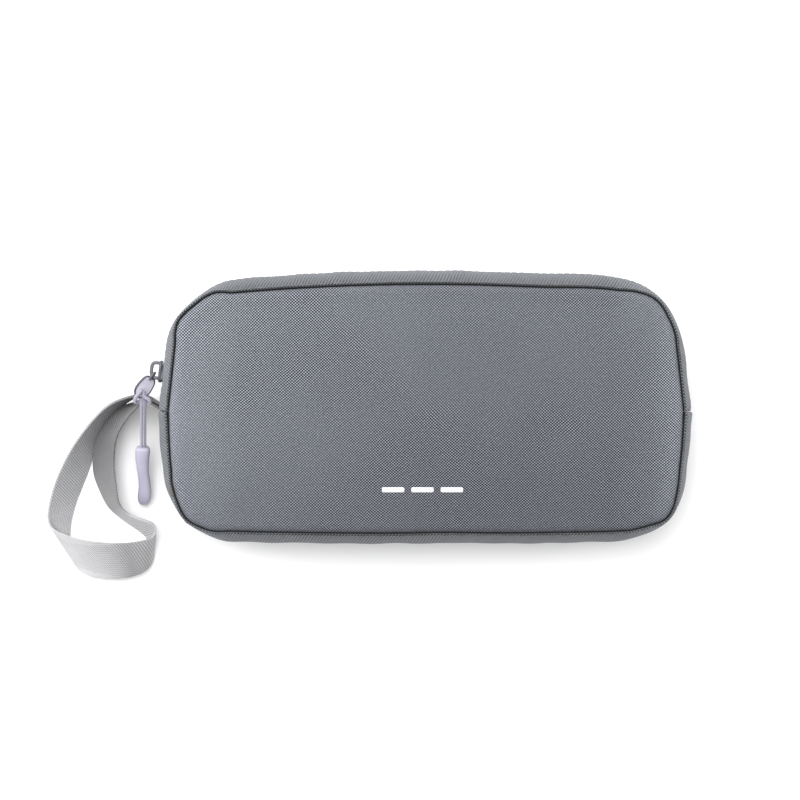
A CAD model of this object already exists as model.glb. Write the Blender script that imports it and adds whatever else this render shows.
import math
import bmesh
import bpy
import numpy as np
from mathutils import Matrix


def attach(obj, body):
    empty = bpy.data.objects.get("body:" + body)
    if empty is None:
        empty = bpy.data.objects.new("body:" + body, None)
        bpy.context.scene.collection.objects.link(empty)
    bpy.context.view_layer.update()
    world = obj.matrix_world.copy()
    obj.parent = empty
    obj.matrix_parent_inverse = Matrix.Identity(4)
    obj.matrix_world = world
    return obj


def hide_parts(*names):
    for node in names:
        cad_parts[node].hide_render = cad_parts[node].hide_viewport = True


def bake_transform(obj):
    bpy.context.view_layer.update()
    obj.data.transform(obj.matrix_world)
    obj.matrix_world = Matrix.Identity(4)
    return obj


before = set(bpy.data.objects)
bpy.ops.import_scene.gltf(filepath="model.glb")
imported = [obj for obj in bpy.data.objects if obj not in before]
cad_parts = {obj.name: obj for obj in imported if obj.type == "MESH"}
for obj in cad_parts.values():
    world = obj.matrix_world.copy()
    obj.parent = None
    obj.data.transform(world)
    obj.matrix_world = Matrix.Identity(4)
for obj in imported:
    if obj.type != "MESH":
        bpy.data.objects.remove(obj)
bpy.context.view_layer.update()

# Lengths are millimetres until make_mesh turns them into metres.
MM = 0.001

# ---- outline of the pouch ----
SIDE_X = 110.5
SEAM_Y = -1.8
CORNER_R = 30.0
TOP_CORNER = (104.9, 50.4)
BOTTOM_CORNER = (109.0, 55.3)      # mirrored in y
TOP_Y = 56.7
BOTTOM_Y = 56.9
ZIP_Z = 27.0
STRIP_CLEAR = 4.2
MID_Z = 28.0
FRONT_SEAM_Z = 52.6
BACK_SEAM_Z = 3.6
FRONT_TOP_Z = 59.2


def quarter(corner, y_mid, seam_y, n=700):
    """Right-hand quarter of the outline, from the cross seam to the middle of the long side."""
    a = np.array([SIDE_X, seam_y])
    c = np.array(corner)
    sagitta = y_mid - corner[1]
    r = (corner[0] ** 2 + sagitta ** 2) / (2 * sagitta)
    centre = np.array([0.0, y_mid - r])
    d = (c - a) / np.linalg.norm(c - a)
    inward = np.array([-d[1], d[0]])
    base = a + inward * CORNER_R - centre
    b = base @ d
    t = -b + math.sqrt(b * b - base @ base + (r - CORNER_R) ** 2)
    f = a + d * t + inward * CORNER_R
    line = a + np.outer(np.linspace(0, t, n), d)
    a0 = math.atan2(-inward[1], -inward[0])
    out = (f - centre) / np.linalg.norm(f - centre)
    a1 = math.atan2(out[1], out[0])
    ang = np.linspace(a0, a1, n)[1:]
    fil = f + CORNER_R * np.stack([np.cos(ang), np.sin(ang)], 1)
    ang = np.linspace(a1, math.pi / 2, n)[1:]
    arc = centre + r * np.stack([np.cos(ang), np.sin(ang)], 1)
    return np.concatenate([line, fil, arc])


def closed_outline():
    """Counter-clockwise points from the right cross seam, over the top, to the left and back."""
    up = quarter(TOP_CORNER, TOP_Y, SEAM_Y)
    low = quarter(BOTTOM_CORNER, BOTTOM_Y, -SEAM_Y)
    upper = np.concatenate([up, (up * [-1, 1])[::-1][1:]])
    lower = np.concatenate([low * [-1, -1], (low * [1, -1])[::-1][1:]])
    return upper, lower


# The sewn outline is not quite even: where it is eased, by how much, and over what distance.
EASED = [(-97.0, 46.0, 1.4, -1.4, 13.0), (71.0, 56.0, 0.0, 1.2, 17.0), (104.0, 37.0, -0.9, -0.4, 10.0),
         (108.0, -32.0, -1.3, 0.2, 14.0), (89.6, -54.0, -0.3, 0.9, 9.0), (8.0, -56.9, 0.0, 0.35, 16.0),
         (-104.0, -38.0, 1.9, 0.4, 14.0), (-93.0, -52.0, 0.5, 0.6, 9.0)]


def eased(points):
    out = points.copy()
    for x, y, dx, dy, reach in EASED:
        share = np.exp(-((points[:, 0] - x) ** 2 + (points[:, 1] - y) ** 2) / reach ** 2)
        out += share[:, None] * [dx, dy]
    return out


UPPER, LOWER = [eased(half) for half in closed_outline()]


def arc_lengths(points):
    return np.concatenate([[0], np.cumsum(np.linalg.norm(np.diff(points, axis=0), axis=1))])


L_UP = arc_lengths(UPPER)[-1]
RING = np.concatenate([UPPER, LOWER[1:]])
S_RING = arc_lengths(RING)
L_RING = S_RING[-1]


TANGENT_REACH = 1.2      # how far to each side a direction of the outline is read


def at(s):
    """Point and outward normal of the outline at arc length s from the right cross seam."""
    s = np.mod(np.asarray(s, float), L_RING)
    p = np.stack([np.interp(s, S_RING, RING[:, k]) for k in (0, 1)], -1)
    a = np.mod(s - TANGENT_REACH, L_RING)
    b = np.mod(s + TANGENT_REACH, L_RING)
    t = np.stack([np.interp(b, S_RING, RING[:, k]) - np.interp(a, S_RING, RING[:, k])
                  for k in (0, 1)], -1)
    t /= np.linalg.norm(t, axis=-1, keepdims=True)
    return p, np.stack([t[..., 1], -t[..., 0]], -1)


# How much more the seam is drawn outward at the left and at the right corners.
CORNER_LEFT, CORNER_RIGHT = 5.0, 4.0


def seam_inset(n, top, bottom, left, right, corner=0.0):
    """Distance of a seam from the outline by the way the outline faces; less at the corners."""
    nx, ny = n[..., 0], n[..., 1]
    side = np.where(nx < 0, left, right)
    end = np.where(ny > 0, top, bottom)
    out = corner * np.where(nx < 0, CORNER_LEFT, CORNER_RIGHT)
    return side * nx ** 2 + end * ny ** 2 - out * nx ** 2 * ny ** 2


RIPPLE_WAVES = 14
RIPPLE_SCALE = 3.6


def ripple(s, scale, seed):
    """Smooth, closed, repeatable waviness along the outline, between about -1 and 1."""
    r = np.random.default_rng(seed)
    total = 0
    for k in range(RIPPLE_WAVES):
        n = round(L_RING / scale * r.uniform(0.5, 1.8))
        total = total + r.uniform(0.4, 1) * np.sin(2 * math.pi * n * s / L_RING + r.uniform(0, 6.3))
    return total / RIPPLE_SCALE


# ---- meshes ----
def linked(name, data):
    """A new object in the scene."""
    obj = bpy.data.objects.new(name, data)
    bpy.context.collection.objects.link(obj)
    return obj


def make_mesh(name, part, body, material, node=(), slot=None):
    """A smooth object from (verts, faces, uv) that rides on a body and stands for some CAD nodes."""
    verts, faces, uv = part
    me = bpy.data.meshes.new(name)
    me.from_pydata((np.asarray(verts, float) * MM).tolist(), [], faces)
    me.polygons.foreach_set("use_smooth", [True] * len(me.polygons))
    layer = me.uv_layers.new(name="UVMap")
    index = np.empty(len(me.loops), int)
    me.loops.foreach_get("vertex_index", index)
    layer.data.foreach_set("uv", np.asarray(uv, float)[index].ravel())
    me.validate()
    obj = linked(name, me)
    me.materials.append(material)
    if body:
        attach(obj, body)
    if node:
        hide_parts(*node)
    return obj


def grid_faces(rows, cols, wrap_rows, wrap_cols):
    """Quads between the points of a grid, which may close on itself either way."""
    faces = []
    for i in range(rows if wrap_rows else rows - 1):
        a = i * cols
        b = ((i + 1) % rows) * cols
        for j in range(cols if wrap_cols else cols - 1):
            k = (j + 1) % cols
            faces.append((a + j, a + k, b + k, b + j))
    return faces


def ring_part(rings, uv=None):
    """Vertices, faces and uv of a closed solid through rings of the same number of points."""
    rings = np.asarray(rings)
    rows, cols = rings.shape[:2]
    faces = grid_faces(rows, cols, False, True)
    faces.append(list(range(cols))[::-1])
    faces.append([(rows - 1) * cols + j for j in range(cols)])
    if uv is None:
        uv = np.zeros((rows * cols, 2))
    return rings.reshape(-1, 3), faces, uv


def band_faces(rows, cols):
    """Faces of a band whose rows run once round its section, with both ends capped."""
    faces = grid_faces(rows, cols, True, False)
    faces.append([i * cols for i in range(rows)])
    faces.append([i * cols + cols - 1 for i in range(rows)][::-1])
    return faces


def grid_solid(name, grid, uv, body, material, wrap_cols=False, wrap_rows=True, **more):
    """A skin whose rows run once round its section, so it is closed; open ends are capped."""
    rows, cols = grid.shape[:2]
    faces = grid_faces(rows, cols, wrap_rows, True) if wrap_cols else band_faces(rows, cols)
    return make_mesh(name, (grid.reshape(-1, 3), faces, uv.reshape(-1, 2)), body, material, **more)


def unit(v):
    v = np.asarray(v, float)
    return v / np.linalg.norm(v)


def tube(points, radius, sides=8, taper=None):
    """Vertices, faces and lengthwise uv of a round tube that follows the points."""
    p = np.asarray(points, float)
    t = np.gradient(p, axis=0)
    t /= np.linalg.norm(t, axis=1, keepdims=True)
    n = np.cross(t[0], [0.31, 0.2, 0.93])
    n /= np.linalg.norm(n)
    frames = []
    for d in t:
        n = n - d * (n @ d)
        n /= np.linalg.norm(n)
        frames.append((n, np.cross(d, n)))
    ang = np.linspace(0, 2 * math.pi, sides, endpoint=False)
    length = arc_lengths(p)
    rings, uv = [], []
    for i, (a, b) in enumerate(frames):
        r = radius * (taper[i] if taper is not None else 1)
        rings.append([p[i] + (a * math.cos(w) + b * math.sin(w)) * r for w in ang])
        uv += [(length[i], w * radius) for w in ang]
    return ring_part(rings, np.array(uv))


def merged(parts):
    """Several (verts, faces, uv) put together."""
    verts, faces, uv, start = [], [], [], 0
    for v, f, u in parts:
        verts.append(v)
        uv.append(u)
        faces += [[i + start for i in face] for face in f]
        start += len(v)
    return np.concatenate(verts), faces, np.concatenate(uv)


def spline(points, resolution=10):
    """Points read from a smooth NURBS curve that has the given control points."""
    cu = bpy.data.curves.new("line", "CURVE")
    cu.dimensions = "3D"
    cu.resolution_u = resolution
    sp = cu.splines.new("NURBS")
    sp.points.add(len(points) - 1)
    for q, p in zip(sp.points, points):
        q.co = (p[0], p[1], p[2], 1)
    sp.order_u = 3
    sp.use_endpoint_u = True
    ob = bpy.data.objects.new("line", cu)
    me = bpy.data.meshes.new_from_object(ob)
    out = np.array([v.co[:] for v in me.vertices])
    bpy.data.objects.remove(ob)
    bpy.data.curves.remove(cu)
    bpy.data.meshes.remove(me)
    return out


# ---- materials ----
class Nodes:
    """Short way to write a node tree."""

    def __init__(self, name):
        self.mat = bpy.data.materials.new(name)
        self.mat.use_nodes = True
        self.tree = self.mat.node_tree
        self.bsdf = self.tree.nodes["Principled BSDF"]

    def add(self, kind, **values):
        n = self.tree.nodes.new(kind)
        for k, v in values.items():
            setattr(n, k, v)
        return n

    def put(self, socket, value):
        """Link a socket's value, or set it straight on the socket."""
        if isinstance(value, bpy.types.NodeSocket):
            self.tree.links.new(value, socket)
        else:
            socket.default_value = value

    def math(self, op, a, b=0.0, c=None):
        n = self.add("ShaderNodeMath", operation=op)
        self.put(n.inputs[0], a)
        self.put(n.inputs[1], b)
        if c is not None:
            self.put(n.inputs[2], c)
        return n.outputs[0]

    def wave(self, x, period, phase=0.0):
        """Sine of x with a period."""
        return self.math("SINE", self.math("MULTIPLY_ADD", x, 2 * math.pi / period, phase))

    def uv(self):
        n = self.add("ShaderNodeUVMap", uv_map="UVMap")
        s = self.add("ShaderNodeSeparateXYZ")
        self.tree.links.new(n.outputs[0], s.inputs[0])
        return s.outputs[0], s.outputs[1]

    def combine(self, x, y, z=0.0):
        n = self.add("ShaderNodeCombineXYZ")
        for socket, value in zip(n.inputs, (x, y, z)):
            self.put(socket, value)
        return n.outputs[0]

    def noise(self, vector, scale, detail=2.0):
        n = self.add("ShaderNodeTexNoise")
        self.put(n.inputs["Vector"], vector)
        n.inputs["Scale"].default_value = scale
        n.inputs["Detail"].default_value = detail
        return n.outputs["Fac"]

    def span(self, x, lo, hi, to_lo=0.0, to_hi=1.0):
        n = self.add("ShaderNodeMapRange")
        self.put(n.inputs[0], x)
        for k, v in zip((1, 2, 3, 4), (lo, hi, to_lo, to_hi)):
            n.inputs[k].default_value = v
        return n.outputs[0]

    def mix(self, fac, a, b):
        n = self.add("ShaderNodeMix", data_type="RGBA")
        self.put(n.inputs[0], fac)
        self.put(n.inputs[6], a)
        self.put(n.inputs[7], b)
        return n.outputs[2]

    def ramp(self, x, stops):
        """Brightness by position: stops are pairs of position and value."""
        first, last = stops[0][0], stops[-1][0]
        n = self.add("ShaderNodeValToRGB")
        self.put(n.inputs[0], self.span(x, first, last))
        marks = n.color_ramp.elements
        while len(marks) < len(stops):
            marks.new(0.5)
        for mark, (place, value) in zip(marks, stops):
            mark.position = (place - first) / (last - first)
        for mark, (place, value) in zip(marks, stops):
            mark.color = (value, value, value, 1)
        return n.outputs[0]

    def scaled(self, colour, factor):
        n = self.add("ShaderNodeVectorMath", operation="SCALE")
        self.put(n.inputs[0], colour)
        self.put(n.inputs[3], factor)
        return n.outputs[0]

    def bump(self, height, distance):
        n = self.add("ShaderNodeBump")
        n.inputs["Distance"].default_value = distance * MM
        self.put(n.inputs["Height"], height)
        self.tree.links.new(n.outputs[0], self.bsdf.inputs["Normal"])

    def set(self, **values):
        """Surface inputs by name, with _ for a space."""
        for key, value in values.items():
            self.put(self.bsdf.inputs[key.replace("_", " ")], value)


# The studio is this much brighter than a white sheet needs, so shadows on the floor stay faint.
KEY = 1.5


def rgb(r, g, b):
    """Linear colour that shows as these 0-255 display values in the studio's light."""
    out = []
    for c in (r, g, b):
        c = c / 255
        out.append((c / 12.92 if c <= 0.04045 else ((c + 0.055) / 1.055) ** 2.4) / KEY)
    return (*out, 1.0)


FABRIC_MEAN = 0.42       # level that the calmer patches of the fabric move toward


def dotted_fabric(name, dark, light, pitch, rise, bump, contrast, tones, slant=0.0, seed=0.0):
    """Oxford cloth: staggered bright floats with dark pits between them.
    pitch and rise are the spacing across and along, tones the brightness along u and then v."""
    m = Nodes(name)
    u, v = m.uv()
    where = m.combine(u, v, seed)
    drift = m.noise(where, 0.03, 2.0)
    fine = m.noise(where, 0.9, 2.0)
    if slant:
        u = m.math("MULTIPLY_ADD", v, slant, u)
    u = m.math("MULTIPLY_ADD", drift, 3.0, u)
    v = m.math("MULTIPLY_ADD", m.noise(where, 0.022, 2.0), 3.5, v)
    u = m.math("MULTIPLY_ADD", fine, pitch * 0.15, u)
    w = m.math("MULTIPLY", m.wave(u, pitch), m.wave(v, rise))
    w = m.math("MULTIPLY_ADD", m.wave(v, rise / 2), 0.1, w)
    level = m.span(w, contrast[0], contrast[1])
    calm = m.span(m.noise(where, 0.016, 2.0), 0.38, 0.6, 0.6, 1.0)
    level = m.math("MULTIPLY_ADD", m.math("SUBTRACT", level, FABRIC_MEAN), calm, FABRIC_MEAN)
    yarn = m.span(fine, 0.3, 0.7, 0.82, 1.14)
    colour = m.mix(level, dark, light)
    for axis, stops in zip(m.uv(), tones):
        yarn = m.math("MULTIPLY", yarn, m.ramp(axis, stops))
    m.set(Base_Color=m.scaled(colour, yarn), Roughness=m.span(level, 0, 1, 0.85, 0.55),
          Specular_IOR_Level=0.35, Sheen_Weight=0.22, Sheen_Roughness=0.4, Sheen_Tint=(0.85, 0.9, 1.0, 1))
    m.bump(w, bump)
    return m.mat


def fine_weave(name, dark, light, pitch, bump=0.06, rough=0.75, sheen=0.1):
    """Plain weave lining, tape or binding."""
    m = Nodes(name)
    u, v = m.uv()
    where = m.combine(u, v)
    w = m.math("MULTIPLY", m.wave(u, pitch), m.wave(v, pitch))
    level = m.span(m.math("MULTIPLY_ADD", m.noise(where, 0.8, 2.0), 1.0, w), -0.5, 1.4)
    m.set(Base_Color=m.mix(level, dark, light), Roughness=m.span(level, 0, 1, rough + 0.1, rough - 0.1),
          Sheen_Weight=sheen)
    m.bump(w, bump)
    return m.mat


def webbing(name, dark, light, tones, bump):
    """Webbing: slanted ribs crossed by lengthwise yarns.
    tones are pairs of distance along the strap and brightness of its yarn there."""
    m = Nodes(name)
    u, v = m.uv()
    where = m.combine(u, v)
    slip = m.math("MULTIPLY", m.noise(where, 0.03, 2.0), 3.0)
    across = m.math("MULTIPLY_ADD", v, 0.45, m.math("ADD", u, slip))
    rib = m.wave(across, 1.05)
    pick = m.wave(v, 0.95)
    w = m.math("MULTIPLY_ADD", pick, 0.45, rib)
    level = m.span(w, -1.2, 1.2)
    edge = m.span(m.math("ABSOLUTE", v), 7.0, 7.4)
    tone = m.ramp(u, tones)
    grime = m.span(m.noise(where, 0.12, 3.0), 0.3, 0.7, 0.95, 1.05)
    colour = m.mix(level, dark, light)
    colour = m.mix(m.math("MULTIPLY", edge, 0.3), colour, light)
    m.set(Base_Color=m.scaled(colour, m.math("MULTIPLY", grime, tone)),
          Roughness=m.span(level, 0, 1, 0.62, 0.42), Sheen_Weight=0.12, Specular_IOR_Level=0.4)
    m.bump(w, bump)
    return m.mat


def painted_metal(name, colour, worn, metallic, rough):
    """Die-cast part, with lighter wear on its edges and faint scratches."""
    m = Nodes(name)
    geo = m.add("ShaderNodeNewGeometry")
    tex = m.add("ShaderNodeTexCoord")
    scratch = m.noise(tex.outputs["Object"], 1400.0, 3.0)
    edge = m.span(geo.outputs["Pointiness"], 0.52, 0.62)
    colour = m.mix(m.math("MULTIPLY", edge, 0.7), colour, worn)
    m.set(Base_Color=colour, Roughness=m.span(scratch, 0.3, 0.7, rough - 0.08, rough + 0.1),
          Metallic=metallic)
    m.bump(scratch, 0.012)
    return m.mat


def moulded(name, colour, shade, rough):
    """Soft moulded plastic with a fine satin grain."""
    m = Nodes(name)
    tex = m.add("ShaderNodeTexCoord")
    grain = m.noise(tex.outputs["Object"], 2200.0, 2.0)
    patch = m.noise(tex.outputs["Object"], 90.0, 3.0)
    m.set(Base_Color=m.mix(m.span(patch, 0.3, 0.7), shade, colour),
          Roughness=m.span(grain, 0.3, 0.7, rough - 0.06, rough + 0.1), Specular_IOR_Level=0.45)
    m.bump(grain, 0.02)
    return m.mat


def braid(name, dark, light, pitch):
    """Braided cord or twisted thread: two crossing sets of strands."""
    m = Nodes(name)
    u, v = m.uv()
    a = m.wave(m.math("MULTIPLY_ADD", v, 0.8, u), pitch)
    b = m.wave(m.math("MULTIPLY_ADD", v, -0.8, u), pitch)
    w = m.math("MAXIMUM", a, b)
    level = m.span(w, -0.6, 1.0)
    m.set(Base_Color=m.mix(level, dark, light), Roughness=0.6, Sheen_Weight=0.15)
    m.bump(w, 0.12)
    return m.mat


def ribbed(name, dark, light, pitch):
    """Elastic: ribs across, stretched threads along."""
    m = Nodes(name)
    u, v = m.uv()
    w = m.math("MULTIPLY_ADD", m.wave(v, 0.5), 0.3, m.wave(u, pitch))
    level = m.span(w, -1.1, 1.1)
    m.set(Base_Color=m.mix(level, dark, light), Roughness=0.75, Sheen_Weight=0.1)
    m.bump(w, 0.2)
    return m.mat


def net_cloth():
    """Hexagon-like net: threads round dark holes."""
    m = Nodes("net_cloth")
    u, v = m.uv()
    a = m.wave(u, 1.8)
    b = m.wave(m.math("MULTIPLY_ADD", v, 0.866, m.math("MULTIPLY", u, 0.5)), 1.8)
    c = m.wave(m.math("MULTIPLY_ADD", v, -0.866, m.math("MULTIPLY", u, 0.5)), 1.8)
    w = m.math("ADD", m.math("ADD", a, b), c)
    level = m.span(m.math("ABSOLUTE", w), 0.2, 1.6)
    m.set(Base_Color=m.mix(level, rgb(98, 101, 108), rgb(34, 36, 40)), Roughness=0.7)
    m.bump(m.math("MULTIPLY", level, -1.0), 0.25)
    return m.mat


# The front cloth is a little paler toward its left, right and top edges.
FRONT_TONES = [((-105, 1.1), (-98, 0.9), (-75, 0.74), (-40, 0.65), (0, 0.59), (40, 0.56), (75, 0.58),
                (92, 0.7), (105, 1.0)),
               ((-55, 0.76), (-40, 0.82), (0, 0.92), (40, 0.98), (52, 1.0))]
FRONT_FABRIC = dotted_fabric("front_fabric", rgb(10, 11, 13), rgb(220, 226, 240), 1.25, 1.15, 0.2,
                             contrast=(-0.15, 0.5), tones=FRONT_TONES)
# The gusset is darker along the two long sides; positions run round the outline from the right seam.
SIDE_TONES = [((0, 0.97), (48, 0.97), (75, 0.6), (225, 0.6), (252, 0.97), (350, 0.97), (375, 0.58),
               (530, 0.58), (556, 0.97), (606, 0.97))]
GUSSET_FABRIC = dotted_fabric("gusset_fabric", rgb(12, 13, 15), rgb(158, 162, 168), 1.3, 2.3, 0.18,
                              slant=0.35, contrast=(-0.2, 0.7), seed=3.0, tones=SIDE_TONES)
WELT = fine_weave("seam_welt_thread", rgb(10, 10, 12), rgb(26, 27, 30), 0.7, 0.08, 0.9, 0.0)
LINING = fine_weave("lining_fabric", rgb(52, 54, 60), rgb(104, 108, 116), 0.6)
BINDING = fine_weave("binding_tape", rgb(60, 62, 68), rgb(112, 116, 124), 0.9, 0.1)
TAPE = fine_weave("zip_tape_weave", rgb(58, 60, 66), rgb(110, 113, 120), 0.7, 0.1)
COIL = moulded("coil_nylon", rgb(96, 99, 106), rgb(70, 72, 78), 0.38)
# Yarn brightness along the strap, which is dyed unevenly: distance in mm, share.
STRAP_TONES = [(0, 0.28), (16, 0.32), (34, 0.67), (70, 0.74), (84, 1.0), (97, 1.06), (109, 0.82), (121, 0.46),
               (129, 0.55), (136, 0.95), (150, 0.88), (158, 0.4), (185, 0.29), (206, 0.32), (222, 0.28)]
WEBBING = webbing("strap_webbing", rgb(184, 183, 191), rgb(255, 255, 255), STRAP_TONES, 0.12)
SLIDER = painted_metal("slider_finish", rgb(86, 87, 94), rgb(150, 150, 158), 0.55, 0.4)
TAB = painted_metal("tab_finish", rgb(232, 229, 245), rgb(244, 242, 252), 0.0, 0.42)
TAB_RIM = painted_metal("tab_rim_finish", rgb(92, 91, 100), rgb(140, 139, 148), 0.5, 0.4)
CORD = braid("cord_braid", rgb(168, 165, 184), rgb(206, 203, 222), 0.8)
GRIP = moulded("grip_plastic", rgb(208, 205, 226), rgb(190, 187, 208), 0.45)
ELASTIC = ribbed("elastic_ribs", rgb(36, 38, 43), rgb(84, 87, 95), 1.3)
THREAD = braid("seam_thread", rgb(70, 72, 78), rgb(150, 154, 162), 0.5)
TACK = braid("tack_thread", rgb(96, 92, 86), rgb(150, 145, 136), 0.5)
NET_CLOTH = net_cloth()
INK = moulded("print_ink", rgb(240, 240, 243), rgb(232, 232, 236), 0.45)


# ---- camera, floor and light ----
CAMERA_AT = (-0.0104, 0.0029, 1.528)      # metres, looking straight down
LENS = 162.0
SENSOR = 36.0
FLOOR_HALF = 4.0
FLOOR_Z = -0.0004
SKY_LIGHT = 0.68
# Soft lamps that face the part: name, place in metres, size, power.
LAMPS = (("overhead", (-0.35, 0.5, 2.2), 1.6, 56.0), ("left", (-1.5, 0.5, 0.75), 1.2, 16.0),
         ("top", (0.1, 1.6, 1.2), 1.2, 9.0), ("right", (1.6, 0.1, 0.7), 1.0, 8.0))


def set_camera():
    cam = bpy.data.cameras.new("camera")
    cam.lens = LENS
    cam.sensor_width = SENSOR
    ob = linked("camera", cam)
    ob.location = CAMERA_AT
    bpy.context.scene.camera = ob


def set_floor():
    me = bpy.data.meshes.new("floor")
    e = FLOOR_HALF
    corners = [(-e, -e, FLOOR_Z), (e, -e, FLOOR_Z), (e, e, FLOOR_Z), (-e, e, FLOOR_Z)]
    me.from_pydata(corners, [], [(0, 1, 2, 3)])
    floor = linked("floor", me)
    m = Nodes("floor_paper")
    m.set(Base_Color=(0.93, 0.93, 0.93, 1), Roughness=0.9, Specular_IOR_Level=0.1)
    me.materials.append(m.mat)


def set_lights():
    world = bpy.data.worlds.new("studio")
    bpy.context.scene.world = world
    world.use_nodes = True
    background = world.node_tree.nodes["Background"]
    background.inputs[0].default_value = (1, 1, 1, 1)
    background.inputs[1].default_value = SKY_LIGHT
    for name, place, size, power in LAMPS:
        li = bpy.data.lights.new(name, "AREA")
        li.size = size
        li.energy = power
        lamp = linked(name, li)
        lamp.location = place
        d = -np.array(place)
        tilt = math.acos(-d[2] / np.linalg.norm(d))
        lamp.rotation_euler = (tilt, 0, math.atan2(d[1], d[0]) - math.pi / 2)
    bpy.context.scene.view_settings.view_transform = "Standard"


# ---- straps and cords ----
# The flat strap's route: its upper edge, then its lower edge. It stays close to the CAD part's.
STRAP_ROUTE = [
    ((-108.0, -0.9, 18.1), (-108.0, -0.9, 3.1)),
    ((-113.1, 2.3, 18.0), (-113.2, 2.2, 3.0)),
    ((-116.2, 4.6, 17.8), (-116.6, 4.4, 2.8)),
    ((-119.5, 5.1, 17.6), (-120.3, 4.6, 2.6)),
    ((-124.6, 4.2, 17.4), (-125.2, 3.0, 2.5)),
    ((-132.1, 1.6, 16.6), (-131.4, -2.6, 1.9)),
    ((-138.1, -3.5, 16.0), (-135.9, -7.6, 1.2)),
    ((-145.3, -12.3, 14.6), (-139.6, -15.4, 0.8)),
    ((-151.4, -21.8, 12.0), (-141.6, -24.8, 0.8)),
    ((-155.6, -31.2, 11.3), (-145.4, -34.4, 1.0)),
    ((-158.1, -39.5, 11.3), (-148.4, -42.2, 1.2)),
    ((-159.1, -45.2, 10.8), (-150.4, -50.9, 1.0)),
    ((-158.8, -48.8, 10.2), (-150.4, -60.0, 1.0)),
    ((-156.9, -51.6, 9.8), (-148.0, -67.5, 1.8)),
    ((-153.4, -53.3, 9.8), (-143.5, -71.2, 3.6)),
    ((-148.3, -55.1, 9.2), (-138.1, -72.5, 4.6)),
    ((-141.7, -56.7, 8.4), (-133.1, -72.8, 5.0)),
    ((-135.2, -57.4, 7.6), (-128.7, -72.7, 5.2)),
    ((-128.4, -57.7, 7.2), (-124.6, -72.1, 5.2)),
    ((-122.0, -57.0, 7.6), (-120.4, -70.8, 4.8)),
    ((-117.4, -56.1, 8.6), (-117.4, -69.0, 3.6)),
    ((-114.2, -54.1, 9.4), (-115.4, -65.9, 1.6)),
    ((-113.3, -51.4, 10.6), (-114.8, -61.5, 0.9)),
    ((-114.4, -48.9, 12.4), (-116.8, -56.4, 0.9)),
    ((-117.3, -48.0, 13.6), (-120.1, -53.0, 0.8)),
    ((-121.0, -46.6, 14.2), (-123.9, -50.4, 0.8)),
    ((-125.8, -44.6, 14.6), (-128.8, -47.0, 0.8)),
    ((-129.0, -40.4, 14.8), (-134.4, -42.2, 0.9)),
    ((-129.7, -34.3, 14.2), (-137.8, -35.0, 1.0)),
    ((-130.4, -28.8, 13.8), (-140.1, -29.1, 1.8)),
    ((-130.8, -22.9, 14.3), (-140.5, -22.6, 2.8)),
    ((-130.5, -17.0, 14.8), (-139.8, -15.8, 3.2)),
    ((-129.1, -11.1, 15.4), (-137.2, -9.2, 3.4)),
    ((-126.1, -6.2, 15.8), (-133.4, -3.9, 3.4)),
    ((-122.9, -2.1, 16.6), (-128.6, 0.0, 3.4)),
    ((-119.1, 1.6, 17.4), (-121.5, 2.2, 2.5)),
    ((-116.0, 2.4, 17.8), (-116.6, 2.6, 2.8)),
    ((-113.1, 0.4, 18.0), (-113.2, 0.5, 3.0)),
    ((-108.0, -2.5, 18.1), (-108.0, -2.5, 3.1)),
]
# Section of a flat band: share of the half width, share of the thickness.
BAND_SECTION = ([(-1.0, -0.2), (-1.0, 0.2), (-0.975, 0.45)]
                + [(v, 0.5) for v in np.linspace(-0.93, 0.93, 11)]
                + [(0.975, 0.45), (1.0, 0.2), (1.0, -0.2), (0.975, -0.45)]
                + [(v, -0.5) for v in np.linspace(0.93, -0.93, 11)] + [(-0.975, -0.45)])


def ribbon(a_edge, b_edge, thick):
    """Grid and uv of a flat band between two edge lines; rows run round its section."""
    mid = (a_edge + b_edge) / 2
    half = (a_edge - b_edge) / 2
    t = np.gradient(mid, axis=0)
    n = np.cross(half, t)
    n /= np.linalg.norm(n, axis=1, keepdims=True)
    length = arc_lengths(mid)
    width = np.linalg.norm(half, axis=1)
    rows = []
    uv = []
    for v, h in BAND_SECTION:
        rows.append(mid + half * v + n * h * thick)
        uv.append(np.stack([length, v * width], 1))
    return np.array(rows), np.array(uv), mid


STRAP_THICK = 1.1


def wrist_strap():
    upper = spline([pair[0] for pair in STRAP_ROUTE], 8)
    lower = spline([pair[1] for pair in STRAP_ROUTE], 8)
    grid, uv, mid = ribbon(upper, lower, STRAP_THICK)
    strap = grid_solid("wrist_strap_webbing", grid, uv, "pouch", WEBBING, node=["wrist_strap"],
                       slot="webbing")


# At rest: the tab's eye on the bridge, the hole in its far end, and the knot below that.
EYE = np.array([-112.714, 14.1211, 27.0])
HOLE = np.array([-118.077, 6.7407, 25.8101])
TAB_DIR = unit(HOLE - EYE)
TAB_UP = unit(np.array([0, 0, 1]) - TAB_DIR * TAB_DIR[2])
TAB_OUT = np.cross(TAB_DIR, TAB_UP)
TWIST = math.radians(58)
KNOT = np.array([-118.677, 1.741, 24.410])
PULL_DIR = np.array([-0.04597, -0.89191, -0.44988])
PULL_SIDE = unit(np.cross(PULL_DIR, [0, 0, 1]))
PULL_UP = unit(np.array([0, 0, 1]) - PULL_DIR * PULL_DIR[2])


def plate_axes(twist):
    """Width and face directions of the tab when it has turned this far from its eye."""
    wide = math.cos(twist) * TAB_UP + math.sin(twist) * TAB_OUT
    face = math.sin(twist) * TAB_UP - math.cos(twist) * TAB_OUT
    return wide, face


CORD_RADIUS = 0.62
KNOT_SWELL = 0.38        # how much thicker the strands look where they are hitched
GRIP_REACH = 21.5        # about the distance from the knot to the top of the grip
GRIP_LENGTH = 27.5
PULL_REACH = GRIP_REACH + GRIP_LENGTH
GRIP_TIP = np.array([-120.9, -41.4, 2.65])


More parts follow.
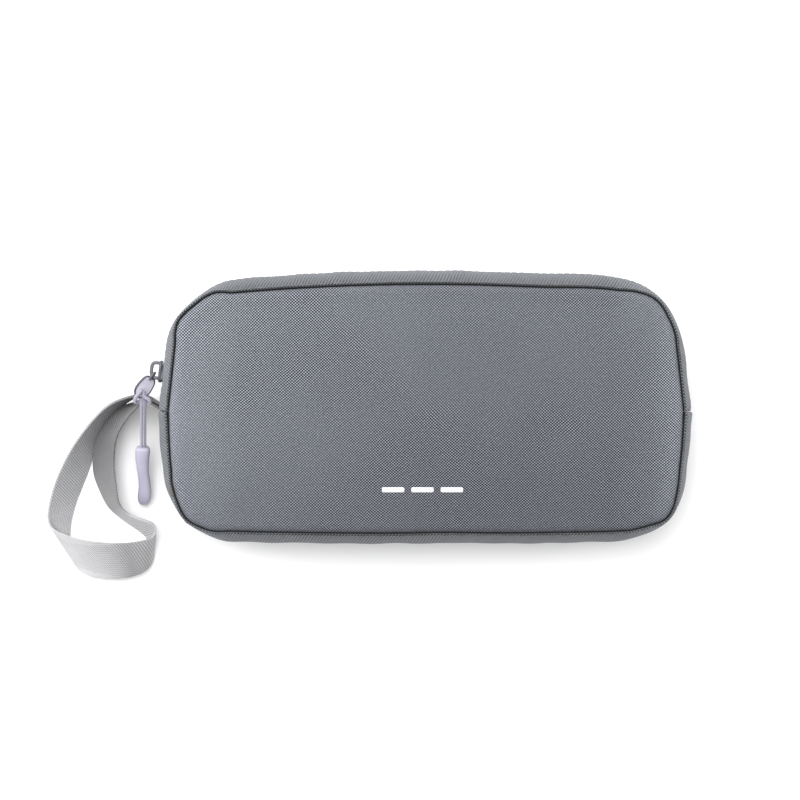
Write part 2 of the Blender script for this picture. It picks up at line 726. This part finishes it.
def lean(reach):
    """The pull hangs a little to the right of a straight line."""
    return np.array([1.0 + 0.7 * min(max(reach, 0), PULL_REACH) / PULL_REACH, 0, 0])


def half_cord(sign):
    """Control points from the grip to the middle of the hitch, on one side of it."""
    wide, face = plate_axes(TWIST)
    if wide @ PULL_SIDE < 0:
        wide = -wide
    wide = wide * sign
    side = PULL_SIDE * sign
    drop = KNOT - HOLE
    points = [KNOT + PULL_DIR * reach + side * 0.7 + lean(reach) for reach in (22.0, 15.0, 8.0, 3.5, 1.0)]
    points += [HOLE + drop * 0.7 + side * 0.75 - PULL_UP * 0.5 + lean(0) * 0.7,
               HOLE + TAB_DIR * 1.9 - face * 1.3 + wide * 0.7,
               HOLE - face * 0.9 + wide * 0.5,
               HOLE + face * 0.9 + wide * 0.5 - TAB_DIR * 0.3,
               HOLE + TAB_DIR * 1.4 + face * 1.5 + wide * 1.3,
               HOLE + drop * 0.62 + side * 3.2 + PULL_UP * 1.3 + lean(0) * 0.6,
               HOLE + drop * 1.0 + side * 3.2 + PULL_UP * 0.4 + lean(0) * 0.9,
               HOLE + drop * 1.05 + side * 1.2 - PULL_UP * 1.6 + lean(0) * 0.9]
    return points


def pull_cord():
    """One cord: up from the grip, hitched through the tab's hole, and back down."""
    line = spline(half_cord(1) + half_cord(-1)[::-1], 8)
    from_knot = np.linalg.norm(line - (HOLE + (KNOT - HOLE) * 0.5), axis=1)
    swell = 1 + KNOT_SWELL * np.clip((5.5 - from_knot) / 2.0, 0, 1)
    cord = make_mesh("pull_cord_loop", tube(line, CORD_RADIUS, 10, taper=swell), "pull", CORD,
                     node=["pull_cord"], slot="pull_cord")


def superellipse(n, w, h, power):
    """Points round a rounded box of width w and height h; a higher power is more square."""
    a = np.linspace(0, 2 * math.pi, n, endpoint=False)
    c, s = np.cos(a), np.sin(a)
    return np.stack([np.sign(c) * np.abs(c) ** (2 / power) * w / 2,
                     np.sign(s) * np.abs(s) ** (2 / power) * h / 2], 1)


# Grip: share of its length, width, sideways offset, thickness.
GRIP_FORM = [(0.0, 3.6, -0.1, 2.6), (0.008, 5.2, -0.1, 3.7), (0.03, 6.0, -0.15, 4.3),
             (0.08, 6.2, -0.2, 4.5), (0.195, 5.8, -0.35, 4.3), (0.35, 5.05, -0.2, 3.8),
             (0.44, 4.8, 0.05, 3.6), (0.52, 4.8, 0.35, 3.6), (0.6, 4.95, 0.6, 3.7),
             (0.68, 5.15, 0.7, 3.9), (0.775, 5.5, 0.65, 4.2), (0.84, 5.55, 0.5, 4.2),
             (0.89, 5.3, 0.35, 4.0), (0.935, 4.6, 0.15, 3.4), (0.97, 3.5, 0.1, 2.7),
             (0.99, 2.2, 0.05, 1.7), (1.0, 0.9, 0.0, 0.7)]


def pull_grip():
    top = GRIP_TIP - PULL_DIR * GRIP_LENGTH
    rings = []
    share = np.array([g[0] for g in GRIP_FORM])
    for t in np.unique(np.concatenate([share, np.linspace(0, 1, 42)])):
        w, off, h = (np.interp(t, share, [g[k] for g in GRIP_FORM]) for k in (1, 2, 3))
        centre = top + PULL_DIR * GRIP_LENGTH * t + lean(GRIP_REACH + GRIP_LENGTH * t) + [off, 0, 0]
        centre = centre + PULL_UP * 0.25 * math.sin(math.pi * t)
        sec = superellipse(28, w, h, 2.7)
        rings.append(centre + sec[:, :1] * PULL_SIDE + sec[:, 1:] * PULL_UP)
    rings = np.array(rings)
    run = arc_lengths(rings.mean(1))
    girth = np.linalg.norm(np.roll(rings, -1, 1) - rings, axis=2).cumsum(1)
    uv = np.stack([np.repeat(run[:, None], rings.shape[1], 1), girth], -1).reshape(-1, 2)
    make_mesh("pull_grip_moulding", ring_part(rings, uv), "pull", GRIP, node=["pull_grip"], slot="grip")


# ---- slider and tab ----
def rounded_outline(length, width_a, width_b, radius, n=48):
    """Outline with rounded corners that tapers from width_a at -x to width_b at +x."""
    pts = []
    x, a, b = length / 2 - radius, width_a / 2 - radius, width_b / 2 - radius
    corners = [(x, b, 0), (-x, a, 90), (-x, -a, 180), (x, -b, 270)]
    for cx, cy, start in corners:
        for turn in np.radians(np.linspace(start, start + 90, 10)):
            pts.append((cx + radius * math.cos(turn), cy + radius * math.sin(turn)))
    p = np.array(pts)
    loop = np.concatenate([p, p[:1]])
    s = arc_lengths(loop)
    at_s = np.linspace(0, s[-1], n, endpoint=False)
    return np.stack([np.interp(at_s, s, loop[:, k]) for k in (0, 1)], 1)


def shrunk(loop, amount):
    """A convex loop about the origin, moved inwards."""
    t = np.roll(loop, -1, 0) - np.roll(loop, 1, 0)
    t /= np.linalg.norm(t, axis=1, keepdims=True)
    return loop - np.stack([t[:, 1], -t[:, 0]], 1) * amount


# Axes of the slider: x along the zip, y across it and z out of the pouch.
SL_X = np.array([0.106668, 0.994295, 0.0])
SL_Y = np.array([0.0, 0.0, -1.0])
SL_Z = np.array([-0.994295, 0.106668, 0.0])
SLIDER_Y = 14.6          # where it rests along the left side
SL_O = np.array([-SIDE_X, SEAM_Y, ZIP_Z]) + SL_X * ((SLIDER_Y - SEAM_Y) / SL_X[1])
# Outer and inner plate of the slider: distance in from its edge, height.
TOP_PLATE = ((0.3, 0.9), (0.05, 1.0), (0.0, 1.2), (0.0, 1.6), (0.12, 1.9), (0.4, 2.08), (1.2, 2.2),
             (2.6, 2.26))
LOW_PLATE = ((0.4, -4.0), (0.08, -3.9), (0.0, -3.7), (0.0, -3.1), (0.1, -2.85), (0.35, -2.8))
# Side view of the bridge: along the zip, outward.
BRIDGE_LINE = [(3.4, 1.9), (3.6, 3.4), (3.2, 4.9), (1.7, 5.35), (-0.3, 5.35), (-1.9, 5.0), (-2.9, 3.7),
               (-2.9, 1.9)]
BRIDGE_HALF_WIDTH = 0.95
# Seen from outside: length, width at each end, corner radius.
SLIDER_PLAN = (9.2, 7.6, 8.6, 2.4)
POST_PLAN = (1.9, 0.9, 1.1, 0.35)
RAIL_PLAN = (7.4, 0.6, 0.6, 0.28)
BRIDGE_THICK = 1.45


def on_slider(x, y, z):
    return SL_O + np.multiply.outer(x, SL_X) + np.multiply.outer(y, SL_Y) + np.multiply.outer(z, SL_Z)


def prism(loop, heights):
    """Part of the slider with the same outline at each height."""
    return ring_part([on_slider(loop[:, 0], loop[:, 1], np.full(len(loop), z)) for z in heights])


def slider():
    loop = rounded_outline(*SLIDER_PLAN)
    parts = []
    for levels in (TOP_PLATE, LOW_PLATE):
        rings = []
        for inset, z in levels:
            q = shrunk(loop, inset) if inset < 1 else loop * (1 - inset / 4.2)
            rings.append(on_slider(q[:, 0], q[:, 1], np.full(len(q), z)))
        parts.append(ring_part(rings))
    parts.append(prism(rounded_outline(*POST_PLAN, 24) + [-3.4, 0], (-2.9, -1.0, 1.0)))
    for side in (-1, 1):
        parts.append(prism(rounded_outline(*RAIL_PLAN, 24) + [0.2, side * 3.62], (-1.3, -1.1, 1.0)))
    make_mesh("slider_shell", merged(parts), "slider", SLIDER, node=["slider_body"], slot="slider_metal")
    line = spline([(x, 0, z) for x, z in BRIDGE_LINE], 6)
    a = on_slider(line[:, 0], line[:, 1] + BRIDGE_HALF_WIDTH, line[:, 2])
    b = on_slider(line[:, 0], line[:, 1] - BRIDGE_HALF_WIDTH, line[:, 2])
    grid, uv, _ = ribbon(a, b, BRIDGE_THICK)
    grid_solid("slider_arch", grid, uv, "slider", SLIDER, node=["slider_bridge"], slot="slider_metal")


def on_tab(x, wide, face, w, h):
    return EYE + np.multiply.outer(x, TAB_DIR) + np.multiply.outer(w, wide) + np.multiply.outer(h, face)


# Half of the tab's outline: distance from its eye, half width.
TAB_FORM = [(2.5, 0, 0), (2.5, 1.7, 0), (3.8, 2.6, 0), (6.0, 3.1, 0), (8.6, 3.3, 0), (10.8, 2.7, 0),
            (11.9, 1.5, 0), (11.9, 0, 0)]
# Half of the wire eye: distance from the bridge, half width.
TAB_EYE = [(3.0, 1.2), (2.9, 1.9), (2.0, 1.95), (0.7, 1.95), (0.0, 1.9), (0.0, 1.0)]


def pull_tab():
    wide, face = plate_axes(TWIST)
    hole_x, hole_r, n = 9.2, 1.2, 60
    edge = spline(TAB_FORM + [(x, -w, 0) for x, w, _ in TAB_FORM[-2::-1]], 8)[:, :2]
    run = arc_lengths(edge)
    even = np.linspace(0, run[-1], n, endpoint=False)
    outer = np.stack([np.interp(even, run, edge[:, k]) for k in (0, 1)], 1)
    a0 = np.arctan2(outer[:, 1], outer[:, 0] - hole_x)
    ring = np.stack([hole_x + hole_r * np.cos(a0), hole_r * np.sin(a0)], 1)
    away = (outer - [hole_x, 0]) / np.linalg.norm(outer - [hole_x, 0], axis=1, keepdims=True)
    rows = [(outer - away * 0.3, -0.5), (outer - away * 0.08, -0.42), (outer, -0.2), (outer, 0.2),
            (outer - away * 0.08, 0.42), (outer - away * 0.3, 0.5), (outer - away * 0.75, 0.44),
            (ring + away * 0.85, 0.44), (ring + away * 0.5, 0.58), (ring + away * 0.15, 0.5), (ring, 0.25)]
    # The other face mirrors the second half of those rows.
    rows += [(q, -h) for q, h in rows[:5:-1]]
    verts = np.concatenate([on_tab(q[:, 0], wide, face, q[:, 1], np.full(n, h)) for q, h in rows])
    plate = (verts, grid_faces(len(rows), n, True, True), np.zeros((len(verts), 2)))
    flat_wide, flat_face = plate_axes(0.0)
    eye = [(x, -w) for x, w in TAB_EYE] + TAB_EYE[::-1]
    line = spline([on_tab(x, flat_wide, flat_face, w, 0.0) for x, w in eye], 6)
    rim = [tube(line, 0.55, 10)]
    ends = np.concatenate([outer, outer[:1]])
    rim.append(tube(on_tab(ends[:, 0], wide, face, ends[:, 1], np.zeros(len(ends))), 0.56, 10))
    neck = []
    for t in np.linspace(0, 1, 9):
        w_dir, f_dir = plate_axes(TWIST * (3 * t * t - 2 * t ** 3))
        sec = superellipse(24, 4.2 + 0.8 * t, 1.05 - 0.1 * t, 3.0)
        x = 2.4 + 1.5 * t
        neck.append(EYE + TAB_DIR * x + sec[:, :1] * w_dir + sec[:, 1:] * f_dir)
    make_mesh("pull_tab_plate", merged([plate, ring_part(neck)]), "tab", TAB, node=["pull_tab"],
              slot="tab_metal")
    make_mesh("pull_tab_rim", merged(rim), "tab", TAB_RIM, slot="tab_metal")


# ---- pouch shell ----
FRONT_SEAM_IN = {"top": 6.4, "bottom": 5.1, "left": 5.0, "right": 4.5, "corner": 2.5}
BACK_SEAM_IN = {"top": 4.0, "bottom": 4.0, "left": 4.0, "right": 4.0}
SPINE_HALF = 56


def front_inset(n):
    return seam_inset(n, **FRONT_SEAM_IN)


def back_inset(n):
    return seam_inset(n, **BACK_SEAM_IN)


def spine_point(p):
    """The point of the panel's middle line that a seam point's row runs to."""
    return np.stack([np.clip(p[:, 0], -SPINE_HALF, SPINE_HALF), p[:, 1] * 0.0], 1)


CROWN_POWER = 2.7        # higher keeps more of the panel flat
SEAM_DIP, DIP_REACH = 1.7, 0.5
ROLL, ROLL_AT, ROLL_REACH = 0.55, 2.6, 2.4


def front_height(d, r):
    """Height of the front panel at a distance d from its seam and a share r of the way to it."""
    z = FRONT_SEAM_Z + (FRONT_TOP_Z - FRONT_SEAM_Z) * (1 - np.abs(r) ** CROWN_POWER)
    return z - SEAM_DIP * np.exp(-(d / DIP_REACH)) + ROLL * np.exp(-((d - ROLL_AT) / ROLL_REACH) ** 2)


# Distances of the closely spaced rows from the seam.
EDGE_ROWS = [0.0, 0.2, 0.45, 0.8, 1.3, 2.0, 2.9, 4.0, 5.4, 7.0]
HALF_SPAN = 50.0
COLUMNS = 600
FRONT_GAP, BACK_GAP = 0.3, 0.1      # between a panel's edge and its seam line
PAD_DEPTH = 4.0
LINING_DEPTHS = (4.05, 4.6)


def panel_rows(flat_rows):
    """Shares of the way from the middle line (0) to the seam (1), from the seam inward."""
    near = 1 - np.array(EDGE_ROWS) / HALF_SPAN
    return np.concatenate([near, np.linspace(near[-1], 0, flat_rows)[1:]])


def panel_grid(rs, inset_of, gap, extra, height):
    """Rows of a panel's skin from its seam inward; height(s, n, d, r) gives a row's z."""
    s = np.linspace(0, L_RING, COLUMNS, endpoint=False)
    p, n = at(s)
    seam = p - n * (inset_of(n) + gap + extra)[:, None]
    spine = spine_point(seam)
    rows = []
    for r in rs:
        z = height(s, n, (1 - r) * HALF_SPAN, r)
        rows.append(np.column_stack([spine + (seam - spine) * r, z]))
    return np.array(rows)


def front_outer(rs, extra=0.0, drop=0.0):
    """Rows of the front panel's skin; extra moves it in from the seam, drop moves it down."""
    def height(s, n, d, r):
        puck = ripple(s, 9.0, 5) * np.where(n[:, 1] < -0.3, 1.0, 0.55)
        z = front_height(d, r) + 0.30 * puck * np.exp(-((d - 1.8) / 2.2) ** 2)
        return z + 0.35 * ripple(s, 60.0, 11) * np.exp(-((d - 9) / 8.0) ** 2) - drop

    return panel_grid(rs, front_inset, FRONT_GAP, extra, height)


def blended(obj):
    """Cloth that bends between the pouch and the flap as it opens."""
    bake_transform(obj)


def merge_spine(obj):
    """Join the rows that meet on the middle line."""
    bm = bmesh.new()
    bm.from_mesh(obj.data)
    bmesh.ops.remove_doubles(bm, verts=bm.verts, dist=1e-6)
    bmesh.ops.dissolve_degenerate(bm, edges=bm.edges, dist=1e-6)
    bm.to_mesh(obj.data)
    bm.free()
    obj.data.polygons.foreach_set("use_smooth", [True] * len(obj.data.polygons))


def panel_piece(name, outer, inner, material, node, slot, body):
    """Closed padded panel from its outer and inner skins, both given from seam to middle."""
    grid = np.concatenate([outer[::-1], inner])
    uv = grid[..., :2].copy()
    obj = grid_solid(name, grid, uv, body, material, wrap_cols=True, wrap_rows=False, node=node,
                     slot=slot)
    merge_spine(obj)
    return obj


def front_panel():
    outer = front_outer(panel_rows(26))
    inner = front_outer(panel_rows(8)[4:], drop=PAD_DEPTH)
    lip = front_outer(np.array([1.0, 1.0]))
    lip[:, :, 2] = np.array([FRONT_SEAM_Z - 2.6, FRONT_SEAM_Z - 3.9])[:, None]
    obj = panel_piece("front_panel_padded", outer, np.concatenate([lip, inner]), FRONT_FABRIC,
                      ["front_panel_upper", "front_panel_lower", "front_foam_upper", "front_foam_lower"],
                      "outer_fabric", None)
    blended(obj)
    skins = [front_outer(panel_rows(8)[3:], extra=0.3, drop=depth) for depth in LINING_DEPTHS]
    blended(panel_piece("front_lining_cloth", *skins, LINING, ["front_lining_upper", "front_lining_lower"],
                        "lining", None))


def back_rows(rs, drop=0.0):
    """Rows of the back panel's skin, which lies on the floor; here drop moves it up."""
    def height(s, n, d, r):
        z = (BACK_SEAM_Z - 0.35) * np.exp(-(d / 3.2) ** 1.3) + 1.4 * np.exp(-(d / 0.5))
        z = z + ripple(s, 10.0, 21) * 0.2 * np.exp(-((d - 2.2) / 2.0) ** 2) + 0.02
        return np.maximum(z, 0.02) + drop

    return panel_grid(rs, back_inset, BACK_GAP, 0.0, height)


def back_panel():
    outer = back_rows(panel_rows(20))
    inner = back_rows(panel_rows(8)[4:], drop=PAD_DEPTH)
    lip = back_rows(np.array([1.0, 1.0]))
    lip[:, :, 2] = np.array([BACK_SEAM_Z + 2.2, BACK_SEAM_Z + 3.4])[:, None]
    obj = panel_piece("back_panel_padded", outer, np.concatenate([lip, inner]), FRONT_FABRIC,
                      ["back_panel", "back_foam"], "outer_fabric", "pouch")
    skins = [back_rows(panel_rows(8)[3:], drop=depth) for depth in LINING_DEPTHS]
    panel_piece("back_lining_cloth", *skins, LINING, ["back_lining"], "lining", "pouch")


COLUMN_STEP = 1.05
END_COLUMNS = np.array([0.0, 0.15, 0.35, 0.65, 1.1])
# Where the gusset's cloth turns in at the front seam and at the back seam: distance, height.
FRONT_TURN = ((0.35, 50.4), (0.35, 51.6), (0.45, 52.3), (0.72, 52.72), (1.0, 52.72))
BACK_TURN = ((0.75, 3.3), (0.48, 3.25), (0.22, 3.65), (0.12, 4.4), (0.12, 5.6))
WALL_TOP, WALL_LOW = 52.4, 3.6
FOLD_DEPTH, FOLD_RISE = 1.7, 0.8
# The gusset's face meets the seams this far outside them, and bows out between them.
FRONT_MEET, BACK_MEET = 1.15, 0.9
WALL_HALF = 24.4
BOW_POWER = 2.5


def columns(s0, s1):
    """Arc lengths from s0 to s1, closer together near both ends."""
    mid = np.linspace(s0 + 1.8, s1 - 1.8, max(2, round((s1 - s0 - 3.6) / COLUMN_STEP)))
    return np.concatenate([s0 + END_COLUMNS, mid, s1 - END_COLUMNS[::-1]])


def wall_row(p, n, inset, z):
    """Points at a height and at a distance inside the outline; both may vary along it."""
    return np.column_stack([p - n * np.reshape(inset, (-1, 1)), np.broadcast_to(z, len(p))])


def wall_uv(s, vs):
    """uv of rows along the outline: arc length, and one value for each row."""
    return np.stack([np.stack([s, np.full(len(s), v)], -1) for v in vs])


def gusset_inset(s, n, z):
    """How far the gusset's outer face lies inside the outline at a height."""
    t = (z - MID_Z) / WALL_HALF
    out = np.where(t > 0, front_inset(n) - FRONT_MEET, back_inset(n) - BACK_MEET) * np.abs(t) ** BOW_POWER
    wave = ripple(s, 26.0, 31) * 0.35 * (1 - t * t)
    pinch = ripple(s, 8.0, 41) * 0.16 * np.abs(t) ** 6
    return out + wave * 0.6 + pinch


def gusset_rows(s, zs, roll_front, roll_back, swell=0.0):
    """Outer face of a gusset piece, rows from its high edge to its low edge."""
    p, n = at(s)
    near = np.minimum(s - s[0], s[-1] - s)
    tuck = 0.9 * np.exp(-(near / 0.45)) - swell * np.exp(-(near / 5.0))
    rows, vs = [], []
    if roll_front:
        for inset, z in FRONT_TURN:
            rows.append(wall_row(p, n, front_inset(n) - inset + tuck * 0.5, z))
            vs.append(z + 1.5)
    for z in zs:
        rows.append(wall_row(p, n, gusset_inset(s, n, z) + tuck, z))
        vs.append(z)
    if roll_back:
        for inset, z in BACK_TURN:
            rows.append(wall_row(p, n, back_inset(n) - inset + tuck * 0.5, z))
            vs.append(z - 1.5)
    return rows, vs


def inner_face(s, zs, depth):
    p, n = at(s)
    return [wall_row(p, n, gusset_inset(s, n, z) + depth, z) for z in zs]


def folded_edge(s, z, up):
    """Rows round a folded edge of cloth at height z; up is +1 when the piece is above it."""
    p, n = at(s)
    rows = []
    for a in np.linspace(0, math.pi, 7)[1:-1]:
        inset = gusset_inset(s, n, z + up * FOLD_RISE) + FOLD_DEPTH / 2 * (1 - math.cos(a))
        rows.append(wall_row(p, n, inset, z + up * FOLD_RISE * (1 - math.sin(a))))
    return rows


def cloth_band(name, s, rows, vs, body, material, node, slot):
    grid = np.array(rows)
    v = np.interp(np.arange(len(grid)), np.arange(len(vs)), vs)
    return grid_solid(name, grid, wall_uv(s, v), body, material, node=node, slot=slot)


def gussets():
    gap = 0.15
    s = columns(L_UP + gap, L_RING - gap)
    outer, vs = gusset_rows(s, np.linspace(WALL_TOP, WALL_LOW, 34), True, True, swell=0.7)
    inner = inner_face(s, np.linspace(6.5, 49.5, 12), 1.8)
    obj = cloth_band("bottom_gusset_cloth", s, outer + inner, vs + list(np.linspace(6, 50, 12)), "pouch",
                     GUSSET_FABRIC, ["bottom_gusset"], "gusset_fabric")
    lining = (inner_face(s, np.linspace(47.5, 8.5, 10), 1.86)
              + inner_face(s, np.linspace(8.5, 47.5, 10), 2.4))
    cloth_band("bottom_gusset_lining_cloth", s, lining, np.linspace(0, 80, 20), "pouch", LINING,
               ["bottom_gusset_lining"], "lining")
    s = columns(gap, L_UP - gap)
    low = ZIP_Z + STRIP_CLEAR
    outer, vs = gusset_rows(s, np.linspace(WALL_TOP, low + 0.9, 16), True, False)
    fold = folded_edge(s, low, 1)
    inner = inner_face(s, np.linspace(low + 0.9, 49.5, 8), FOLD_DEPTH)
    obj = cloth_band("zip_strip_front_cloth", s, outer + fold + inner, vs, None,
                     GUSSET_FABRIC, ["zipper_strip_front"], "gusset_fabric")
    blended(obj)
    high = ZIP_Z - STRIP_CLEAR
    outer, vs = gusset_rows(s, np.linspace(high - 0.9, WALL_LOW, 14), False, True)
    inner = inner_face(s, np.linspace(6.5, high - 0.9, 8), FOLD_DEPTH)
    fold = folded_edge(s, high, -1)[::-1]
    cloth_band("zip_strip_rear_cloth", s, outer + inner + fold, vs, "pouch",
               GUSSET_FABRIC, ["zipper_strip_rear"], "gusset_fabric")


def capsule(a, b, radius):
    """A short stitch from a to b with tapered ends."""
    t = np.array([0.0, 0.12, 0.5, 0.88, 1.0])
    pts = a + t[:, None] * (b - a)
    return tube(pts, radius, 6, taper=[0.35, 0.9, 1.1, 0.9, 0.35])


STITCH_RADIUS, TACK_RADIUS = 0.17, 0.24
STITCH_PITCH, STITCH_LENGTH = 3.1, 2.3
STITCH_FROM_ZIP = 6.4


def stitches(name, z, body):
    """A row of stitches along the zip strip at a height."""
    parts = []
    for s in np.arange(3.0, L_UP - 5.0, STITCH_PITCH):
        ends = []
        for k in (s, s + STITCH_LENGTH):
            p, n = at(k)
            inset = gusset_inset(np.array([k]), n[None], z)[0] + 0.02
            ends.append(np.append(p - n * inset, z))
        parts.append(capsule(ends[0], ends[1], STITCH_RADIUS))
    return make_mesh(name, merged(parts), body, THREAD, slot="gusset_fabric")


def bar_tack():
    """Short dense stitches across the seam at the lower left corner."""
    parts = []
    s_mid = L_UP + 34.0
    for k in range(7):
        s = s_mid + (k - 3) * 0.42
        p, n = at(s)
        sf = front_inset(n[None])[0]
        a = np.append(p - n * (sf - 1.9), 52.75)
        b = np.append(p - n * (sf - 0.5), 52.95)
        parts.append(capsule(a, b, TACK_RADIUS))
    make_mesh("bar_tack_stitches", merged(parts), "pouch", TACK, slot="gusset_fabric")


def tape_band(name, z0, z1, body, node):
    s = columns(0.3, L_UP - 0.3)
    p, n = at(s)
    section = [(1.8, z0), (1.75, z0 + 0.2), (1.75, z1 - 0.2), (1.8, z1), (2.2, z1), (2.2, z0)]
    rows = np.array([wall_row(p, n, inset, z) for inset, z in section])
    uv = wall_uv(s, [z for _, z in section])
    return grid_solid(name, rows, uv, body, TAPE, node=node, slot="zip_tape")


def coil(name, z_mid, phase, body, node):
    """Nylon coil: a flattened helix along the tape."""
    pitch, per_turn = 1.5, 12
    s0, s1 = 2.5, L_UP - 2.5
    turns = int((s1 - s0) / pitch)
    k = np.arange(turns * per_turn + 1) / per_turn
    s = s0 + (k + phase) * pitch
    p, n = at(s)
    a = 2 * math.pi * k
    side = np.sign(np.cos(a)) * np.abs(np.cos(a)) ** 0.8
    up = np.sign(np.sin(a)) * np.abs(np.sin(a)) ** 0.8
    pts = wall_row(p, n, 0.95 - 0.72 * side, z_mid + 1.22 * up)
    return make_mesh(name, tube(pts, 0.36, 6), body, COIL, node=node, slot="zip_coil")


def end_stops():
    parts = []
    for s in (1.25, L_UP - 1.25):
        p, n = at(s)
        t = np.array([-n[1], n[0]])
        rings = []
        for depth, scale in ((0.1, 0.6), (0.2, 0.9), (0.6, 1.0), (1.7, 1.0)):
            sec = superellipse(20, 1.9 * scale, 2.2 * scale, 4.0)
            rings.append(np.column_stack([p - n * depth + sec[:, :1] * t, ZIP_Z - 1.9 + sec[:, 1]]))
        parts.append(ring_part(rings))
    make_mesh("zip_end_stops", merged(parts), "pouch", SLIDER, node=["zipper_end_stops"], slot="zip_coil")


def zip_fastener():
    tape_band("zip_tape_rear_weave", ZIP_Z - 12.0, ZIP_Z - 0.8, "pouch", ["zipper_tape_rear"])
    blended(tape_band("zip_tape_front_weave", ZIP_Z + 0.8, ZIP_Z + 12.0, None, ["zipper_tape_front"]))
    coil("zip_coil_rear_teeth", ZIP_Z - 1.55, 0.0, "pouch", ["zipper_coil_rear"])
    blended(coil("zip_coil_front_teeth", ZIP_Z + 1.55, 0.5, None, ["zipper_coil_front"]))
    end_stops()
    blended(stitches("zip_stitches_front", ZIP_Z + STITCH_FROM_ZIP, None))
    stitches("zip_stitches_rear", ZIP_Z - STITCH_FROM_ZIP, "pouch")


def binding(name, inset_of, z, nodes, body):
    """Tape that binds a seam inside the pouch."""
    s = np.linspace(0, L_RING, 420, endpoint=False)
    p, n = at(s)
    sec = superellipse(14, 3.4, 1.7, 2.6)
    wave = 0.15 * ripple(s, 12.0, 51)
    rows = np.array([wall_row(p, n, inset_of(n) + 2.0 + w, z + h + wave) for w, h in sec])
    uv = wall_uv(s, [k * 0.7 for k in range(14)])
    return grid_solid(name, rows, uv, body, BINDING, wrap_cols=True, node=nodes, slot="binding")


def welt():
    """Dark sewing thread and piping at the bottom of the front seam."""
    s = np.linspace(0, L_RING, 500, endpoint=False)
    p, n = at(s)
    sec = superellipse(8, 1.0, 1.3, 2.0)
    wave = 0.12 * ripple(s, 7.0, 61)
    rows = np.array([wall_row(p, n, front_inset(n) + w, FRONT_SEAM_Z - 1.9 + h + wave) for w, h in sec])
    uv = wall_uv(s, [k * 0.5 for k in range(8)])
    blended(grid_solid("front_seam_welt", rows, uv, None, WELT, wrap_cols=True, slot="binding"))


# ---- inside of the pouch ----
ELASTIC_Z = 4.62
ELASTIC_Y = 18
# Half of one loop, from its foot to its top: distance from its middle, height.
LOOP_FORM = [(14, 1.3), (11.5, 1.35), (10.6, 2.6), (10.4, 5.6), (8.4, 7.3), (3, 7.55)]


def elastic_band(points):
    """A wide elastic along the points."""
    line = spline(points, 6)
    grid, uv, _ = ribbon(line + [0, 9.0, 0], line - [0, 9.0, 0], 0.95)
    return grid.reshape(-1, 3), band_faces(*grid.shape[:2]), uv.reshape(-1, 2)


def elastic_row():
    """Five loops sewn on a flat elastic."""
    parts = [elastic_band([(x, ELASTIC_Y, ELASTIC_Z + 0.5) for x in np.linspace(-75, 75, 24)])]
    for k in range(5):
        x = (k - 2) * 30.0
        half = [(-dx, dz) for dx, dz in LOOP_FORM] + LOOP_FORM[::-1]
        parts.append(elastic_band([(x + dx, ELASTIC_Y, ELASTIC_Z + dz) for dx, dz in half]))
    make_mesh("elastic_loop_row", merged(parts), "pouch", ELASTIC, node=["elastic_loops"], slot="elastic")


def pocket():
    """Net pocket on the back lining, with a bound top edge."""
    s = np.linspace(0, L_RING, 400, endpoint=False)
    p, n = at(s)
    edge = p - n * 6.2
    low = edge[:, 1].min()
    nx, ny = 90, 22
    top = -14.0
    ys = np.linspace(top, low + 0.3, ny)
    grid = []
    right = edge[edge[:, 0] > 0]
    right = right[np.argsort(right[:, 1])]
    for y in ys:
        half = np.interp(y, right[:, 1], right[:, 0])
        x = np.linspace(-half, half, nx)
        sag = 0.5 * np.sin(math.pi * (y - low) / (top - low)) * np.cos(x / 17.0)
        grid.append(np.column_stack([x, np.full(nx, y), 6.4 + sag * 0.6]))
    grid = np.array(grid)
    top_skin, low_skin = grid + [0, 0, 0.15], grid - [0, 0, 0.15]
    rows = np.concatenate([top_skin, low_skin[::-1]])
    uv = rows[..., :2].copy()
    net = grid_solid("mesh_pocket_net", rows, uv, "pouch", NET_CLOTH, node=["mesh_pocket"], slot="mesh")
    half = np.interp(top, right[:, 1], right[:, 0])
    y = -10.0
    sec = [(half * u, y, 6.5) for u in np.linspace(-1, 1, 30)]
    line = spline(sec, 6)
    a, b = line + [0, 4.0, 0], line - [0, 4.0, 0]
    g, guv, _ = ribbon(a, b, 1.1)
    grid_solid("mesh_pocket_top_hem", g, guv, "pouch", ELASTIC, node=["mesh_pocket_hem"], slot="elastic")


# ---- print ----
MARK_PLACE = (-1.2, -33.8)
MARK_PITCH = 12.0


def print_mark():
    """Three plain bars in place of the printed name."""
    parts = []
    seam_low = BOTTOM_Y - FRONT_SEAM_IN["bottom"]
    for k in (-1, 0, 1):
        cx, cy = MARK_PLACE[0] + MARK_PITCH * k, MARK_PLACE[1]
        loop = rounded_outline(9.2, 2.1, 2.1, 0.5, 44)
        rings = []
        for inset, lift in ((0.0, -0.35), (0.0, 0.10), (0.07, 0.15), (0.9, 0.16)):
            q = shrunk(loop, inset) if inset < 0.5 else loop * [1 - inset / 4.7, 0.35]
            r = np.abs(q[:, 1] + cy) / seam_low
            z = front_height((1 - r) * HALF_SPAN, r) + lift
            rings.append(np.column_stack([q[:, 0] + cx, q[:, 1] + cy, z]))
        parts.append(ring_part(rings, np.concatenate(rings)[:, :2]))
    make_mesh("print_mark_bars", merged(parts), "pouch", INK, node=["print_mark"], slot="mark")


set_camera()
set_floor()
set_lights()
pull_grip()
pull_cord()
wrist_strap()
pull_tab()
slider()
front_panel()
back_panel()
gussets()
zip_fastener()
bar_tack()
welt()
blended(binding("front_binding_tape", front_inset, FRONT_SEAM_Z - 5.4,
                ["front_binding_upper", "front_binding_lower"], None))
binding("back_binding_tape", back_inset, BACK_SEAM_Z + 4.4, ["back_binding"], "pouch")
elastic_row()
pocket()
print_mark()
